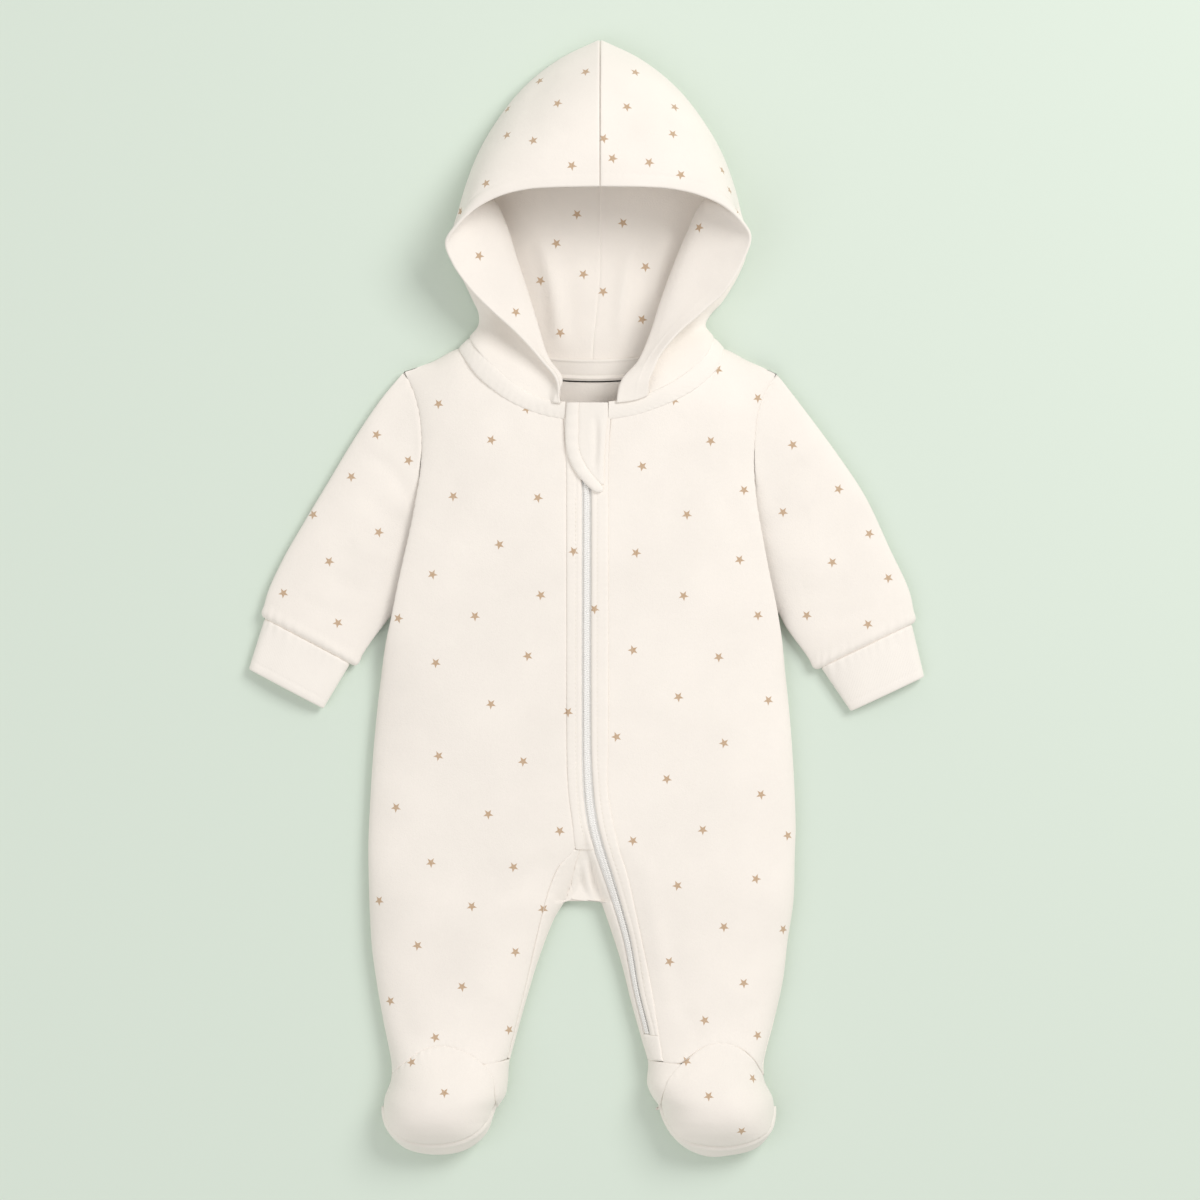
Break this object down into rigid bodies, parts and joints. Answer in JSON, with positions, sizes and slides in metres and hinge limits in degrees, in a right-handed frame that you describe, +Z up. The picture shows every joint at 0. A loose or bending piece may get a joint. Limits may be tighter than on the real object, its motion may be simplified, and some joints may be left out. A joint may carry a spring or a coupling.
{
  "type": "hooded footed baby sleepsuit laid flat",
  "caption": "Hooded fleece baby sleepsuit with closed feet and ribbed cuffs, zipped from the neck down one leg, laid flat on its back",
  "frame": {"origin": "on the surface that the suit lies on, below the middle of its box", "axes": "+Z up from the surface, +Y along the suit towards the hood, +X towards the wearer's left"},
  "size_m": [0.4386, 0.7241, 0.059],
  "materials": {
    "fleece": "soft brushed cotton with small printed stars",
    "plain": "soft plain cotton",
    "rib": "fine ribbed cotton",
    "tape": "woven zip tape",
    "zip": "white moulded coil and slider"
  },
  "bodies": {
    "root": {"front_right": "fleece", "front_left": "fleece", "back": "fleece", "sleeve_right": "fleece", "sleeve_left": "fleece", "cuff_right": "rib", "cuff_left": "rib", "hood_right": "fleece", "hood_left": "fleece", "neckband": "plain", "neck_tape": "plain", "placket_right": "fleece", "placket_left": "fleece", "zip_end_patch": "plain", "zip_tape_right": "tape", "zip_tape_left": "tape", "zip_coil": "zip", "zip_slider": "zip", "zip_guard": "plain", "zip_guard_binding": "plain", "crotch_gusset": "plain", "inseam_strip_right": "fleece", "toe_cap_right": "fleece", "toe_cap_left": "fleece", "sole_right": "plain", "sole_left": "plain", "heel_right": "fleece", "heel_left": "fleece"}
  },
  "joints": []
}
